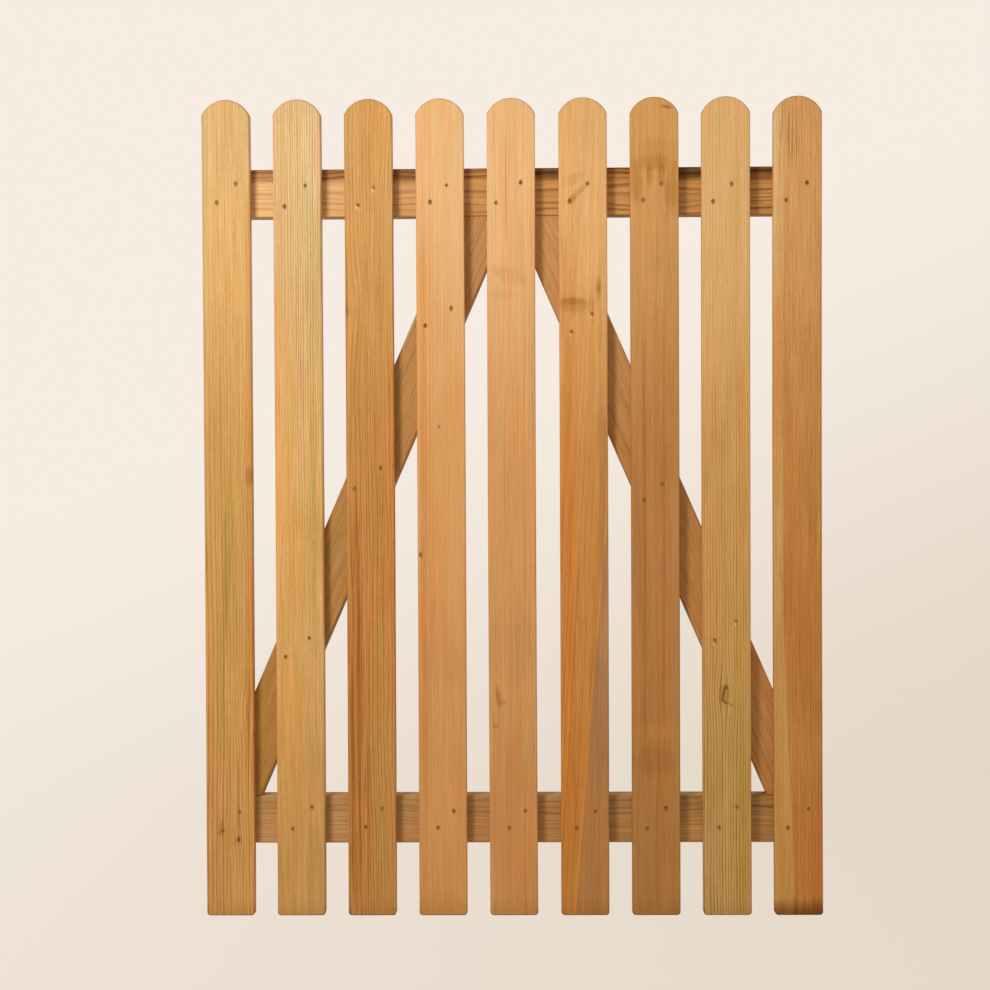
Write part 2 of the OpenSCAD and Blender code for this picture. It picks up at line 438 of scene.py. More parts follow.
def face_mesh(board, step, ease, holes):
    """Triangles over the outline. The first vertices are the outline's own."""
    points = list(board.outline)
    rings = [list(range(len(points)))]
    for share in RIM_INSETS:
        ring = inset(board.outline, share * ease)
        rings.append(list(range(len(points), len(points) + len(ring))))
        points += ring
    for hole in holes:
        points.append(hole)
        for radius in DENT_RINGS:
            ring = arc(hole, radius, 0, 360, DENT_SIDES)
            rings.append(list(range(len(points), len(points) + len(ring))))
            points += ring
    points += field_points(board.outline, step, RIM_INSETS[-1] * ease + RIM_CLEAR * step, holes)
    edges = [(a, b) for ring in rings for a, b in zip(ring, ring[1:] + ring[:1])]
    verts, _, faces, origins, _, _ = geometry.delaunay_2d_cdt(points, edges, [], 1, MERGE_DISTANCE)
    where = {old: new for new, olds in enumerate(origins) for old in olds}
    rim = [where[i] for i in range(len(board.outline))]
    return [Vector(v) for v in verts], [tuple(f) for f in faces], rim


def bell(*shares):
    """1 at the middle, falling away as the distances grow, each given as a share of its reach."""
    return math.exp(-sum(share * share for share in shares))


def dent_profile(board, x, z):
    """Depth of the nails' dents at a point, and how dark and how splintered the wood is there."""
    depth, dark, chip = 0.0, 0.0, 0.0
    for nail_x, nail_z, is_chipped in board.nails:
        dx, dz = x - nail_x, z - nail_z
        away = math.hypot(dx, dz)
        if away > DENT_REACH:
            continue
        spot = Vector((nail_x * 900, math.atan2(dz, dx) * 1.3, nail_z * 700))
        rim = DENT_RADIUS * (1 + DENT_RAGGED * noise.noise(spot))
        hole = 1 - smooth(HEAD_RADIUS * HEAD_CLEAR, rim, away)
        lip = bell((away - LIP_PLACE) / LIP_WIDTH)
        grain_side = abs(dz) / max(away, TINY)
        depth = max(depth, DENT_DEPTH * hole) - LIP_RISE * lip * grain_side
        smear = SMEAR_DARK * bell(dx / SMEAR_HALF[0], dz / SMEAR_HALF[1])
        dark = max(dark, min(1.0, bell(away / HALO_REACH) + smear))
        if is_chipped:
            torn = bell((dx - TORN_PLACE[0]) / TORN_HALF[0], (dz - TORN_PLACE[1]) / TORN_HALF[1])
            chip = max(chip, torn)
            depth += TORN_DEPTH * torn
    return depth, dark, chip


def relief(board, x, z):
    """Gentle rise and fall of a planed face, with each knot a little proud inside a sunken ring."""
    seed = BOARD_SEED * list(WOODS).index(board.name)
    height = FACE_SWELL * noise.noise(Vector((x * SWELL_PACE[0], seed, z * SWELL_PACE[1])))
    moat_place, moat_width = KNOT_MOAT
    for knot in board.wood.knots:
        away = math.hypot(x / MM - knot.x, (z / MM - knot.z) / KNOT_STRETCH) / knot.radius
        moat = KNOT_MOAT_DEPTH * bell((away - moat_place) / moat_width)
        height += KNOT_RISE * knot.dark * (bell(away) - moat)
    return height


def crook_shift(wood, z, length):
    """How far a board's crook carries it sideways at a height z, none at its ends."""
    share = z / length
    return wood.crook * MM * 4 * share * (1 - share)


def bend(board, point, length):
    """A face point carried sideways by the board's crook."""
    return Vector((point.x + crook_shift(board.wood, point.y, length), point.y))


def end_dark_weight(z, length):
    """How much a board's rounded edge is darkened at a height z, most at its foot, where it is painted shade.
    """
    near_foot = 1 - smooth(*FOOT_END, z)
    near_head = smooth(length - HEAD_END[0], length - HEAD_END[1], z)
    return FOOT_EDGE_SHADE * near_foot + near_head


def front_surface(board, points, length):
    """The front's vertices, and at each how nail-dark and splintered the wood is and how much its end edge is
    darkened, at the foot as painted shade.
    """
    verts = []
    marks = {"nail_dark": [], "nail_chip": [], "end_edge_dark": []}
    for p in points:
        depth, nail_dark, nail_chip = dent_profile(board, p.x, p.y)
        fall = board.edge_drop(p.x, p.y)
        b = bend(board, p, length)
        sunk = max(0.0, FACE_PLAY + fall + depth - relief(board, p.x, p.y))
        verts.append((b.x, sunk - board.thickness / 2, b.y))
        marks["nail_dark"].append(nail_dark)
        marks["nail_chip"].append(nail_chip)
        marks["end_edge_dark"].append(min(1.0, fall / END_DARK_FALL) * end_dark_weight(p.y, length))
    return verts, marks


def back_surface(board, points, length):
    """The back's vertices."""
    verts = []
    for p in points:
        b = bend(board, p, length)
        verts.append((b.x, board.thickness / 2 - board.edge_drop(p.x, p.y), b.y))
    return verts


def wall(verts, front_rim, back_rim):
    """Faces from the front's rim to the back's, in rows. The rows' own vertices join verts."""
    rows = [front_rim]
    for row in range(1, WALL_ROWS):
        rows.append(list(range(len(verts), len(verts) + len(front_rim))))
        for near, far in zip(front_rim, back_rim):
            verts.append(tuple(Vector(verts[near]).lerp(Vector(verts[far]), row / WALL_ROWS)))
    rows.append(back_rim)
    faces = []
    for near, far in zip(rows, rows[1:]):
        for i in range(len(near)):
            j = (i + 1) % len(near)
            faces.append((near[j], near[i], far[i], far[j]))
    return faces


def build_board(board, ease):
    """Makes the board's closed mesh: front, back and the wall between them."""
    holes = [Vector((x, z)) for x, z, _ in board.nails]
    front_points, front_faces, front_rim = face_mesh(board, FIELD_STEP, ease, holes)
    back_points, back_faces, back_rim = face_mesh(board, BACK_STEP, ease, [])
    length = max(p.y for p in board.outline)
    verts, marks = front_surface(board, front_points, length)
    start = len(verts)
    verts += back_surface(board, back_points, length)
    faces = front_faces + [tuple(start + i for i in reversed(f)) for f in back_faces]
    faces += wall(verts, front_rim, [start + i for i in back_rim])
    mesh = bpy.data.meshes.new(board.name)
    mesh.from_pydata(verts, [], faces)
    for label, values in marks.items():
        attribute = mesh.attributes.new(label, "FLOAT", "POINT")
        attribute.data.foreach_set("value", values + [0.0] * (len(verts) - len(values)))
    mesh.validate()
    mesh.shade_smooth()
    mesh.set_sharp_from_angle(angle=math.radians(SHARP_ANGLE))
    piece = bpy.data.objects.new(board.name + "_board", mesh)
    piece.matrix_world = board.place
    bpy.context.scene.collection.objects.link(piece)
    return piece


def nail_points(node):
    """Where a nail node's heads are, as (x, z) in the row frame."""
    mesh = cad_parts[node].data
    face_y = min(v.co.y for v in mesh.vertices)
    clusters = []
    for v in mesh.vertices:
        if v.co.y > face_y + HEAD_FLAT:
            continue
        p = Vector((v.co.x, v.co.z))
        near = [c for c in clusters if (c[0] - p).length < NAILS_APART]
        if near:
            near[0].append(p)
        else:
            clusters.append([p])
    heads = []
    for c in clusters:
        low = Vector((min(p.x for p in c), min(p.y for p in c)))
        high = Vector((max(p.x for p in c), max(p.y for p in c)))
        heads.append((low + high) / 2)
    return sorted(heads, key=lambda p: p.y)


def picket_board(number):
    """A picket, with its nails at the places of its nail node's heads."""
    name = f"picket_{number}"
    low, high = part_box(name)
    centre = (low + high) / 2
    width, height = high.x - low.x, high.z - low.z
    chipped = CHIPPED.get(number, ())
    nails = []
    for k, p in enumerate(nail_points(name + "_nails")):
        z = p.y - low.z
        nails.append((p.x - centre.x - crook_shift(WOODS[name], z, height), z, k in chipped))
    return Board(
        name, Matrix.Translation((centre.x, centre.y, low.z)), picket_outline(width, height),
        high.y - low.y, picket_edge_drop(width, height), nails, WOODS[name],
    )


def rail_board(name):
    """A rail, its own z axis along the leaf's width."""
    low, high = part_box(name)
    centre = (low + high) / 2
    half, length = (high.z - low.z) / 2, high.x - low.x
    corners = [Vector(c) for c in ((half, 0), (half, length), (-half, length), (-half, 0))]
    place = Matrix.Translation((low.x, centre.y, centre.z)) @ Matrix.Rotation(math.radians(90), 4, "Y")
    return Board(
        name, place, polygon_outline(corners), high.y - low.y,
        polygon_edge_drop(corners, (FRAME_EASE, END_EASE, FRAME_EASE, END_EASE)), [], WOODS[name],
    )


def brace_board(name, side):
    """A brace, side -1 on the left and 1 on the right. Its slope follows from its box and its width."""
    low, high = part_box(name)
    rail_low, rail_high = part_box("top_rail")
    width = rail_high.z - rail_low.z
    rise = high.z - low.z
    level_cut = width
    for _ in range(SLOPE_TURNS):
        angle = math.atan2(rise, high.x - low.x - level_cut)
        level_cut = width / math.sin(angle)
    foot_x = low.x + level_cut / 2 if side < 0 else high.x - level_cut / 2
    turn = -side * (math.pi / 2 - angle)
    place = Matrix.Translation((foot_x, (low.y + high.y) / 2, low.z)) @ Matrix.Rotation(turn, 4, "Y")
    run = -side * (high.x - low.x - level_cut)
    half_cut = level_cut / 2
    level = [(-half_cut, 0), (half_cut, 0), (run + half_cut, rise), (run - half_cut, rise)]
    spun = Matrix.Rotation(-turn, 4, "Y")
    corners = [spun @ Vector((x, 0, z)) for x, z in level]
    corners = [Vector((c.x, c.z)) for c in corners]
    return Board(
        name, place, polygon_outline(corners), high.y - low.y,
        polygon_edge_drop(corners, (END_EASE, FRAME_EASE, END_EASE, FRAME_EASE)), [], WOODS[name],
    )


# ---------------------------------------------------------------- node helpers


# A Mix node has number and vector sockets before its colour sockets
MIX_COLOUR_A = 6
MIX_COLOUR_B = 7
MIX_COLOUR_OUT = 2


class Graph:
    """Short names for adding nodes to one material."""

    def __init__(self, name):
        self.material = bpy.data.materials.new(name)
        self.material.use_nodes = True
        self.tree = self.material.node_tree
        self.tree.nodes.clear()

    def add(self, kind, **settings):
        """A new node, with some of its settings."""
        node = self.tree.nodes.new(kind)
        for key, value in settings.items():
            setattr(node, key, value)
        return node

    def feed(self, socket, value):
        """Links an output, or sets a plain value or colour."""
        if isinstance(value, bpy.types.NodeSocket):
            self.tree.links.new(value, socket)
        elif isinstance(value, tuple) and len(value) == 3 and socket.type == "RGBA":
            socket.default_value = (*value, 1)
        else:
            socket.default_value = value

    def math(self, operation, a, b=0.0, c=0.0):
        node = self.add("ShaderNodeMath", operation=operation)
        for socket, value in zip(node.inputs, (a, b, c)):
            self.feed(socket, value)
        return node.outputs[0]

    def add_up(self, *values):
        """The sum of all the values."""
        total = values[0]
        for value in values[1:]:
            total = self.math("ADD", total, value)
        return total

    def times(self, a, b):
        return self.math("MULTIPLY", a, b)

    def minus(self, a, b):
        return self.math("SUBTRACT", a, b)

    def remap(self, value, low, high, to_low=0.0, to_high=1.0, smoothed=True):
        """The value carried from one range to another, eased unless told otherwise."""
        node = self.add("ShaderNodeMapRange", interpolation_type="SMOOTHSTEP" if smoothed else "LINEAR")
        for socket, given in zip(node.inputs, (value, low, high, to_low, to_high)):
            self.feed(socket, given)
        return node.outputs[0]

    def vector(self, x, y, z):
        node = self.add("ShaderNodeCombineXYZ")
        for socket, value in zip(node.inputs, (x, y, z)):
            self.feed(socket, value)
        return node.outputs[0]

    def split(self, vector):
        node = self.add("ShaderNodeSeparateXYZ")
        self.feed(node.inputs[0], vector)
        return node.outputs

    def stretched(self, vector, across, along_grain, offset=0.0):
        """The vector with each axis divided by a feature size in mm."""
        node = self.add("ShaderNodeMapping", vector_type="POINT")
        self.feed(node.inputs["Vector"], vector)
        node.inputs["Scale"].default_value = (1 / across, 1 / across, 1 / along_grain)
        node.inputs["Location"].default_value = (offset, offset * 0.7, offset * 1.3)
        return node.outputs[0]

    def noise(self, vector, detail=2.0, roughness=0.5):
        node = self.add("ShaderNodeTexNoise")
        self.feed(node.inputs["Vector"], vector)
        node.inputs["Scale"].default_value = 1
        node.inputs["Detail"].default_value = detail
        node.inputs["Roughness"].default_value = roughness
        return node.outputs["Fac"]

    def centred_noise(self, vector, size, offset, detail=2.0, roughness=0.5):
        """Noise from about -0.5 to 0.5 with features of a size (across, along) in mm."""
        return self.minus(self.noise(self.stretched(vector, *size, offset), detail, roughness), 0.5)

    def noise_line(self, value):
        """Noise along one number."""
        node = self.add("ShaderNodeTexNoise", noise_dimensions="1D")
        self.feed(node.inputs["W"], value)
        node.inputs["Scale"].default_value = 1
        node.inputs["Detail"].default_value = 1
        return node.outputs["Fac"]

    def one_value(self, value):
        """One random number from 0 to 1 for each value."""
        node = self.add("ShaderNodeTexWhiteNoise", noise_dimensions="1D")
        self.feed(node.inputs["W"], value)
        return node.outputs["Value"]

    def mix(self, share, a, b, blend="MIX"):
        """Colour a, with a share of colour b over it."""
        node = self.add("ShaderNodeMix", data_type="RGBA", blend_type=blend)
        self.feed(node.inputs["Factor"], share)
        self.feed(node.inputs[MIX_COLOUR_A], a)
        self.feed(node.inputs[MIX_COLOUR_B], b)
        return node.outputs[MIX_COLOUR_OUT]

    def object_mm(self):
        """Where a point lies in its object's own axes, in mm."""
        place = self.add("ShaderNodeTexCoord")
        scaled = self.add("ShaderNodeVectorMath", operation="SCALE")
        self.feed(scaled.inputs[0], place.outputs["Object"])
        scaled.inputs["Scale"].default_value = 1 / MM
        return scaled.outputs[0]

    def bump(self, height, strength, distance):
        """A normal bent by a height."""
        node = self.add("ShaderNodeBump")
        node.inputs["Strength"].default_value = strength
        node.inputs["Distance"].default_value = distance
        self.feed(node.inputs["Height"], height)
        return node.outputs[0]

    def surface(self, shader):
        """Ends the material with this shader, and gives the material."""
        output = self.add("ShaderNodeOutputMaterial")
        self.feed(output.inputs["Surface"], shader.outputs[0])
        return self.material

    def attribute(self, name):
        """A number that the mesh carries at each vertex."""
        node = self.add("ShaderNodeAttribute", attribute_name=name)
        return node.outputs["Fac"]


# ---------------------------------------------------------------- wood

KNOT_TONE = (0.115, 0.045, 0.018)
NAIL_STAIN_TONE = (0.23, 0.100, 0.020)
RAW_WOOD_TONE = (0.82, 0.58, 0.33)
WARM_TINT = (1.04, 0.93, 0.80)
KNOT_HALO_TINT = (0.62, 0.42, 0.26)
KNOT_RING_TONE = (0.32, 0.14, 0.05)
# Darker wood is also deeper in colour: green and blue fall faster than red
SHADE_GREEN = 1.3
SHADE_BLUE = 2.0

# Sizes of the wood's features, (across the grain, along it) in mm
SLOW_SWAY = (70, 420)
QUICK_SWAY = (14, 120)
WIGGLE = (6, 26)
FIBRE = (1.7, 80)
FLECK = (1.2, 11)
STREAK = (7, 380)
CLOUD = (38, 150)
WARM_PATCH = (17, 300)
GREEN_PATCH = (12, 260)
FADE_PATCH = (5, 70)
NAIL_PATCH = (21, 21)

# Where noise starts to show as a patch, and where it shows in full
WARM_SHOWS = (0.42, 0.68)
WARM_MOST = 0.75
GREEN_SHOWS = (0.46, 0.70)
FADE_SHOWS = (0.32, 0.62)
FADE_LEAST = 0.6

# A growth ring from 0 to 1: where its late wood darkens, and where it ends
RING_RISE = (0.45, 0.78)
RING_FALL = (0.84, 0.98)
RING_PACE = 0.35
SWAY_SHARES = (4, 0.7)
WIGGLE_WIDTH = 1.5
RING_UNEVEN = (1.6, 0.3)
RING_WEAKEST = (0.35, 0.80)
GRAIN_KEPT = 0.2
KNOT_REACH = 2.6

# Shares of a board's length between which one tone passes into the next
FOOT_TO_MID = (0.04, 0.50)
MID_TO_HEAD = (0.52, 0.94)
LINE_CHANGE = (0.12, 0.85)
CLIMB_WANDER = 160
BAND_WANDER = 3

# How much each feature darkens the wood, for a streak value of 1
FIBRE_DEPTH = 4.2
FLECK_DEPTH = 2.2
STREAK_DEPTH = 1.7
CLOUD_DEPTH = 1.2

STAIN_EDGE = (0.45, 1.3)
STAIN_RAGGED = (1.1, 0.7, 0.9)
FOOT_SHADE_HEIGHT = (2, 30)
FOOT_SHADE_WANDER = 16
END_SHADE = 0.34

KNOT_LENGTH = 1.35
KNOT_RAGGED = (0.9, 0.9, 1.4)
KNOT_HALO = (0.9, 2.4)
KNOT_HALO_DEPTH = 0.55
KNOT_RIM = (0.75, 1.05)
KNOT_RINGS = 9.0
KNOT_RING_DEPTH = 0.35

TORN_SHOWS = (0.35, 0.75)
TORN_RAGGED = 0.7
NAIL_DARK_SHOWS = (0.25, 0.95)
NAIL_DARK_RAGGED = 0.5
NAIL_DEPTH_SHOWS = (0.40, 0.62)
NAIL_DEPTH = (0.35, 0.95)

WOOD_ROUGHNESS = 0.60
ROUGHNESS_SHARES = (0.25, 0.12)
HEIGHT_SHARES = (0.5, 0.7, 0.5)
WOOD_SPECULAR = 0.25
WOOD_BUMP = 0.16
WOOD_BUMP_DEPTH = 0.25 * MM


def ellipse_distance(g, x, z, centre_x, centre_z, half_x, half_z, turn=0.0):
    """1 on the edge of an ellipse, 0 at its middle."""
    dx, dz = g.minus(x, centre_x), g.minus(z, centre_z)
    if turn:
        c, s = math.cos(math.radians(turn)), math.sin(math.radians(turn))
        dx, dz = g.add_up(g.times(dx, c), g.times(dz, s)), g.minus(g.times(dz, c), g.times(dx, s))
    dx, dz = g.times(dx, 1 / half_x), g.times(dz, 1 / half_z)
    return g.math("SQRT", g.add_up(g.times(dx, dx), g.times(dz, dz)))


def ragged(g, value, features, shares):
    """A value made uneven by some of the wood's features."""
    return g.add_up(value, *(g.times(feature, share) for feature, share in zip(features, shares)))


def bent_x(g, wood, x, z):
    """x with the grain pushed aside round each knot."""
    for knot in wood.knots:
        away = ellipse_distance(g, x, z, knot.x, knot.z, knot.pull, knot.pull * KNOT_REACH)
        fade = g.math("EXPONENT", g.times(g.times(away, away), -1.0))
        keep = g.minus(1.0, g.times(fade, 1 - GRAIN_KEPT))
        x = g.add_up(g.times(g.minus(x, knot.x), keep), knot.x)
    return x


def between(ends, share):
    """The value a share of the way from the first end to the second."""
    return ends[0] + (ends[1] - ends[0]) * share


def growth_rings(g, wood, vector, x, y, z, seed):
    """Darkness of the late wood, 0 to 1, on growth rings round the pith."""
    slow = g.centred_noise(vector, SLOW_SWAY, seed, 1.0)
    quick = g.centred_noise(vector, QUICK_SWAY, seed + 3)
    wiggle = g.centred_noise(vector, WIGGLE, seed + 7, 1.0)
    slow_share, quick_share = SWAY_SHARES
    shift = g.add_up(
        g.times(slow, slow_share * wood.wander), g.times(quick, quick_share * wood.wander),
        g.times(wiggle, WIGGLE_WIDTH),
    )
    dx = g.add_up(bent_x(g, wood, x, z), -wood.pith[0], g.times(z, -wood.lean), shift)
    dy = g.minus(y, wood.pith[1])
    radius = g.math("SQRT", g.add_up(g.times(dx, dx), g.times(dy, dy)))
    pace = g.add_up(g.times(radius, RING_PACE / wood.ring), seed)
    uneven = g.times(g.noise_line(pace), between(RING_UNEVEN, wood.even))
    phase = g.add_up(g.times(radius, 1 / wood.ring), uneven)
    share = g.math("FRACT", phase)
    rise = g.remap(share, *RING_RISE)
    fall = g.remap(share, *RING_FALL, 1.0, 0.0)
    strength = g.one_value(g.math("FLOOR", phase))
    weakest = between(RING_WEAKEST, wood.even)
    return g.times(g.times(rise, fall), g.remap(strength, 0, 1, weakest, 1.0))


def wood_material(board):
    """Solid softwood: rings, fibres, colour streaks, knots, stains and the nails' marks, and some painted
    shade: on the feet's rounded edges, on two patches of picket 5, and in part of the braces' green.
    """
    wood = board.wood
    seed = 11.3 * (1 + list(WOODS).index(board.name))
    length = max(p.y for p in board.outline) / MM
    g = Graph("wood_" + board.name)
    vector = g.object_mm()
    x, y, z = g.split(vector)

    late = growth_rings(g, wood, vector, x, y, z, seed)
    fibre = g.centred_noise(vector, FIBRE, seed + 1, 3.0, 0.65)
    fleck = g.centred_noise(vector, FLECK, seed + 2, 2.0, 0.6)
    streaks = g.centred_noise(vector, STREAK, seed + 4)
    cloud = g.centred_noise(vector, CLOUD, seed + 5, 3.0, 0.55)
    patch = g.noise(g.stretched(vector, *WARM_PATCH, seed + 6))

    climb = g.times(g.add_up(z, g.times(cloud, CLIMB_WANDER)), 1 / length)
    colour = g.mix(g.remap(climb, *FOOT_TO_MID), wood.foot_tone, wood.mid_tone)
    colour = g.mix(g.remap(climb, *MID_TO_HEAD), colour, wood.head_tone)
    colour = g.mix(g.remap(patch, *WARM_SHOWS, 0.0, WARM_MOST), colour, WARM_TINT, "MULTIPLY")
    if wood.green:
        # Green patches: the treated wood's own green, and on the braces partly a painted olive cast of shade.
        green_noise = g.noise(g.stretched(vector, *GREEN_PATCH, seed + 8))
        colour = g.mix(g.remap(green_noise, *GREEN_SHOWS, 0.0, wood.green), colour, GREEN_TINT, "MULTIPLY")
    line = g.remap(climb, *LINE_CHANGE, *wood.line)
    for band in wood.bands:
        edge = g.remap(z, 0, band.z_high, band.x_foot, band.x_high, smoothed=False)
        over = g.times(g.add_up(g.minus(x, edge), g.times(cloud, BAND_WANDER)), band.side)
        share = g.remap(over, -band.soft, band.soft)
        colour = g.mix(share, colour, band.tint, "MULTIPLY")
        line = g.add_up(line, g.times(share, band.line))
    # Patches of other colour: stains in the wood, and on picket 5 a painted soft shadow.
    for tint_patch in wood.tint_patches:
        away = ellipse_distance(g, x, z, tint_patch.x, tint_patch.z, tint_patch.half_x, tint_patch.half_z, tint_patch.turn)
        away = ragged(g, away, (cloud, streaks, fibre), STAIN_RAGGED)
        colour = g.mix(g.remap(away, *STAIN_EDGE, 1.0, 0.0), colour, tint_patch.tint, "MULTIPLY")

    shade = g.add_up(
        1.0, g.times(fibre, FIBRE_DEPTH * wood.streak), g.times(fleck, FLECK_DEPTH * wood.streak),
        g.times(streaks, STREAK_DEPTH * wood.streak), g.times(cloud, CLOUD_DEPTH * wood.streak),
    )
    foot_height = g.add_up(z, g.times(streaks, FOOT_SHADE_WANDER))
    foot = g.remap(foot_height, *FOOT_SHADE_HEIGHT, wood.foot_shade, 0.0)
    # The ends' rounded edges darkened: painted shade at the foot, a thin darker rim at the head.
    end_edge_dark = g.times(g.attribute("end_edge_dark"), END_SHADE)
    shade = g.times(g.times(shade, g.minus(1.0, foot)), g.minus(1.0, end_edge_dark))
    deeper = g.math("POWER", shade, SHADE_GREEN)
    deepest = g.math("POWER", shade, SHADE_BLUE)
    colour = g.mix(1.0, colour, g.vector(shade, deeper, deepest), "MULTIPLY")
    fade = g.remap(g.noise(g.stretched(vector, *FADE_PATCH, seed + 10)), *FADE_SHOWS, FADE_LEAST, 1.0)
    late_colour = g.mix(1.0, colour, wood.late_tint, "MULTIPLY")
    colour = g.mix(g.times(g.times(late, line), fade), colour, late_colour)

    for knot in wood.knots:
        if knot.dark <= 0:
            continue
        away = ellipse_distance(g, x, z, knot.x, knot.z, knot.radius, knot.radius * KNOT_LENGTH)
        away = ragged(g, away, (streaks, fibre, fleck), KNOT_RAGGED)
        halo = g.remap(away, *KNOT_HALO, KNOT_HALO_DEPTH * knot.dark, 0.0)
        colour = g.mix(halo, colour, KNOT_HALO_TINT, "MULTIPLY")
        rings = g.math("SINE", g.times(away, KNOT_RINGS))
        core_tone = g.mix(g.remap(rings, -1, 1, 0.0, KNOT_RING_DEPTH), KNOT_TONE, KNOT_RING_TONE)
        colour = g.mix(g.remap(away, *KNOT_RIM, knot.dark, 0.0), colour, core_tone)

    if board.nails:
        chip = g.attribute("nail_chip")
        dark = g.attribute("nail_dark")
        torn = g.remap(g.add_up(chip, g.times(fibre, TORN_RAGGED)), *TORN_SHOWS)
        colour = g.mix(torn, colour, RAW_WOOD_TONE)
        depth = g.remap(g.noise(g.stretched(vector, *NAIL_PATCH, seed + 9)), *NAIL_DEPTH_SHOWS, *NAIL_DEPTH)
        stained = g.remap(g.add_up(dark, g.times(fibre, NAIL_DARK_RAGGED)), *NAIL_DARK_SHOWS, 0.0, depth)
        colour = g.mix(stained, colour, NAIL_STAIN_TONE)

    rough = ragged(g, WOOD_ROUGHNESS, (fibre, cloud), ROUGHNESS_SHARES)
    height = ragged(g, 0.0, (late, fibre, fleck), HEIGHT_SHARES)
    shader = g.add("ShaderNodeBsdfPrincipled")
    g.feed(shader.inputs["Base Color"], colour)
    g.feed(shader.inputs["Roughness"], rough)
    g.feed(shader.inputs["Normal"], g.bump(height, WOOD_BUMP, WOOD_BUMP_DEPTH))
    shader.inputs["Specular IOR Level"].default_value = WOOD_SPECULAR
    return g.surface(shader)


STEEL_DARK = (0.17, 0.070, 0.012)
STEEL_LIGHT = (0.32, 0.145, 0.030)
RUST_TONE = (0.27, 0.102, 0.017)
PALE_HEAD_TONE = (0.44, 0.22, 0.060)
# Sizes of the steel's features in mm, and where noise starts to show and shows in full
SPANGLE = 0.5
RUST_PATCH = 1.6
RUST_SHOWS = (0.40, 0.60)
WEATHER_PATCH = 60
WEATHER_SHOWS = (0.46, 0.60)
WEATHER_MOST = 0.6
STEEL_SPECULAR = 0.08
STEEL_ROUGHNESS = (0.6, 0.85)
STEEL_BUMP = 0.3
STEEL_BUMP_DEPTH = 0.1 * MM


def steel_material():
    """Nail heads gone brown, some paler than others."""
    g = Graph("nail_steel")
    vector = g.object_mm()
    spangle = g.noise(g.stretched(vector, SPANGLE, SPANGLE, 2.0), 3.0, 0.6)
    rust = g.noise(g.stretched(vector, RUST_PATCH, RUST_PATCH, 5.0))
    weather = g.noise(g.stretched(vector, WEATHER_PATCH, WEATHER_PATCH, 9.0), 1.0)
    colour = g.mix(spangle, STEEL_DARK, STEEL_LIGHT)
    colour = g.mix(g.remap(rust, *RUST_SHOWS), colour, RUST_TONE)
    colour = g.mix(g.remap(weather, *WEATHER_SHOWS, 0.0, WEATHER_MOST), colour, PALE_HEAD_TONE)
    shader = g.add("ShaderNodeBsdfPrincipled")
    shader.inputs["Specular IOR Level"].default_value = STEEL_SPECULAR
    g.feed(shader.inputs["Base Color"], colour)
    g.feed(shader.inputs["Roughness"], g.remap(spangle, 0.2, 0.8, *STEEL_ROUGHNESS))
    g.feed(shader.inputs["Normal"], g.bump(spangle, STEEL_BUMP, STEEL_BUMP_DEPTH))
    return g.surface(shader)


# ---------------------------------------------------------------- studio

CREAM_HIGH = (0.925, 0.84, 0.765)
CREAM_LOW = (0.765, 0.667, 0.554)
# The cream deepens from one corner to the other: how much by x, and from where to where in metres
CREAM_LEAN = 0.42
CREAM_SPAN = (-1.25, 1.25)
FLOOR_DROP = 0.30
STAGE_RADIUS = 5.0
SWEEP_RADIUS = 2.0
SWEEP_STEPS = 16
STAGE_HEIGHT = 7.0
STAGE_SIDES = 96
LIGHT_AIM = (0, 0, 0.6)
WORLD_COLOUR = (1.0, 0.96, 0.90)
WORLD_STRENGTH = 0.45
CAMERA_PLACE = (0.031, -3.138, 0.680)
# Pitch, roll and yaw in degrees
CAMERA_TURN = (-1.21, 0.27, 1.04)
CAMERA_LENS = 77.8
SENSOR_WIDTH = 36


def cream_material():
    """Evenly glowing cream, a little deeper towards the right and the foot of the sweep."""
    g = Graph("studio_cream")
    place = g.add("ShaderNodeTexCoord")
    x, _, z = g.split(place.outputs["Object"])
    depth = g.remap(g.minus(g.times(x, CREAM_LEAN), z), *CREAM_SPAN)
    shader = g.add("ShaderNodeEmission")
    g.feed(shader.inputs["Color"], g.mix(depth, CREAM_HIGH, CREAM_LOW))
    return g.surface(shader)


def build_stage():
    """A round cream floor that sweeps up into a wall all round. Only the camera sees it."""
    profile = [(0.0, 0.0), (STAGE_RADIUS - SWEEP_RADIUS, 0.0)]
    for step in range(1, SWEEP_STEPS + 1):
        a = math.radians(90 * step / SWEEP_STEPS)
        out = STAGE_RADIUS - SWEEP_RADIUS + SWEEP_RADIUS * math.sin(a)
        profile.append((out, SWEEP_RADIUS * (1 - math.cos(a))))
    profile.append((STAGE_RADIUS, STAGE_HEIGHT))
    profile.append((0.0, STAGE_HEIGHT + SWEEP_RADIUS))
    verts, faces = [], []
    for radius, z in profile:
        for side in range(STAGE_SIDES):
            a = math.tau * side / STAGE_SIDES
            verts.append((radius * math.cos(a), radius * math.sin(a), z - FLOOR_DROP))
    for ring in range(len(profile) - 1):
        for side in range(STAGE_SIDES):
            here, beside = ring * STAGE_SIDES + side, ring * STAGE_SIDES + (side + 1) % STAGE_SIDES
            faces.append((here, beside, beside + STAGE_SIDES, here + STAGE_SIDES))
    mesh = bpy.data.meshes.new("studio")
    mesh.from_pydata(verts, [], faces)
    mesh.shade_smooth()
    mesh.materials.append(cream_material())
    stage = bpy.data.objects.new("studio", mesh)
    bpy.context.scene.collection.objects.link(stage)
    stage.visible_diffuse = False
    stage.visible_glossy = False
    stage.visible_shadow = False


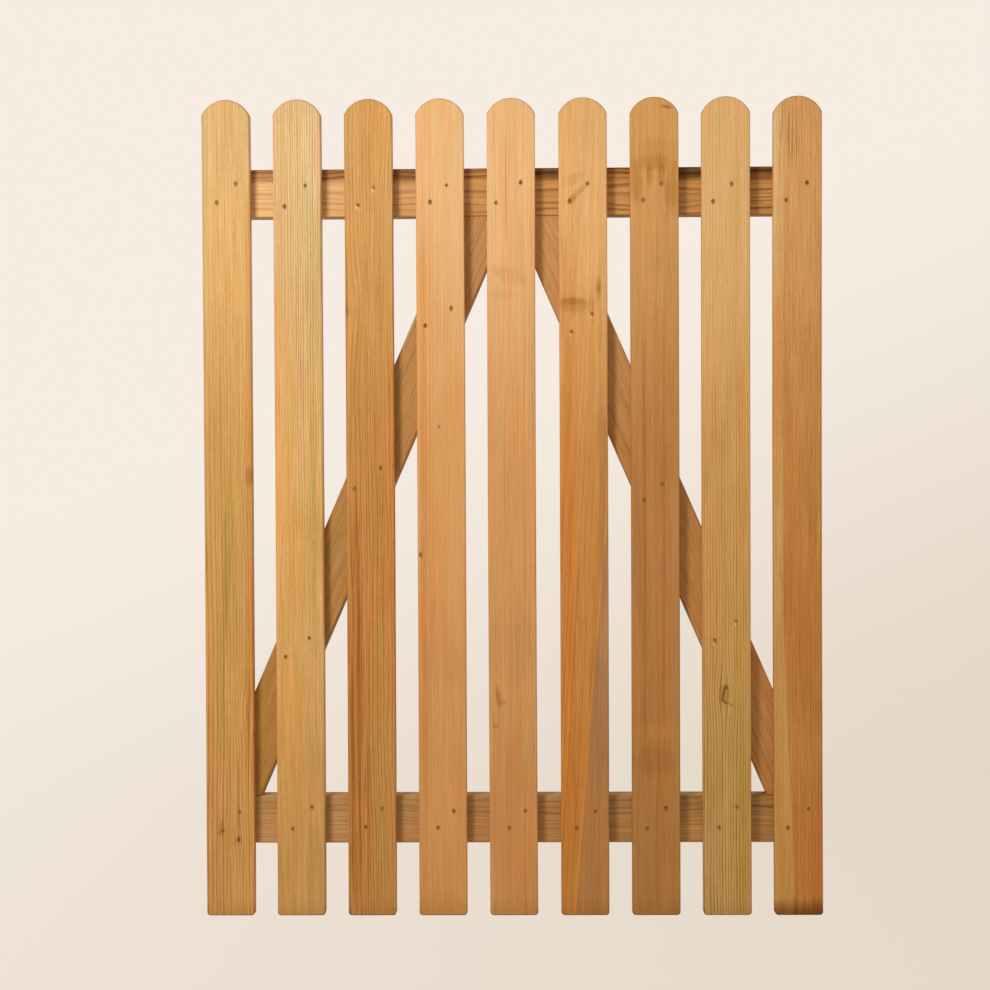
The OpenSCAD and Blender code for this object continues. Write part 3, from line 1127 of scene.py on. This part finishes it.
def area_light(name, place, size, power, colour):
    """A softbox at a place in metres, aimed at the leaf's middle, with its power in watts."""
    data = bpy.data.lights.new(name, "AREA")
    data.shape = "RECTANGLE"
    data.size, data.size_y = size
    data.energy = power
    data.color = colour
    light = bpy.data.objects.new(name, data)
    light.location = place
    light.rotation_euler = (Vector(LIGHT_AIM) - Vector(place)).to_track_quat("-Z", "Y").to_euler()
    light.visible_camera = False
    bpy.context.scene.collection.objects.link(light)


def build_lights():
    """A key softbox high on the left, weak ones at the right and behind, and even light all round."""
    area_light("key", (-1.0, -1.65, 1.45), (0.55, 0.7), 27.5, (1.0, 0.975, 0.94))
    area_light("side_fill", (1.9, -1.3, 0.9), (1.5, 1.5), 6, (1.0, 0.96, 0.91))
    area_light("back_fill", (1.6, 2.6, 2.2), (1.6, 1.6), 30, (1.0, 0.97, 0.93))
    world = bpy.data.worlds.new("studio_world")
    world.use_nodes = True
    background = world.node_tree.nodes["Background"]
    background.inputs["Color"].default_value = (*WORLD_COLOUR, 1)
    background.inputs["Strength"].default_value = WORLD_STRENGTH
    bpy.context.scene.world = world


def build_camera():
    """The camera, in front of the leaf and turned a little off level."""
    data = bpy.data.cameras.new("camera")
    data.sensor_width = SENSOR_WIDTH
    data.lens = CAMERA_LENS
    camera = bpy.data.objects.new("camera", data)
    pitch, roll, yaw = (math.radians(a) for a in CAMERA_TURN)
    level = Matrix.Rotation(math.radians(90), 4, "X")
    turn = Matrix.Rotation(yaw, 4, "Z") @ Matrix.Rotation(pitch, 4, "X") @ Matrix.Rotation(roll, 4, "Y")
    camera.matrix_world = Matrix.Translation(CAMERA_PLACE) @ turn @ level
    bpy.context.scene.collection.objects.link(camera)
    bpy.context.scene.camera = camera


# ---------------------------------------------------------------- the leaf


def place_board(board, ease):
    """Builds a board in place of its CAD node."""
    piece = build_board(board, ease)
    piece.data.materials.append(wood_material(board))
    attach(piece, "root")
    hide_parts(board.name)


build_camera()
build_lights()
build_stage()
bpy.context.scene.view_settings.view_transform = "Standard"

for number in range(1, PICKET_COUNT + 1):
    place_board(picket_board(number), PICKET_EASE)
for rail in ("top_rail", "bottom_rail"):
    place_board(rail_board(rail), FRAME_EASE)
place_board(brace_board("left_brace", -1), FRAME_EASE)
place_board(brace_board("right_brace", 1), FRAME_EASE)

steel = steel_material()
for number in range(1, PICKET_COUNT + 1):
    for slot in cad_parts[f"picket_{number}_nails"].material_slots:
        slot.material = steel
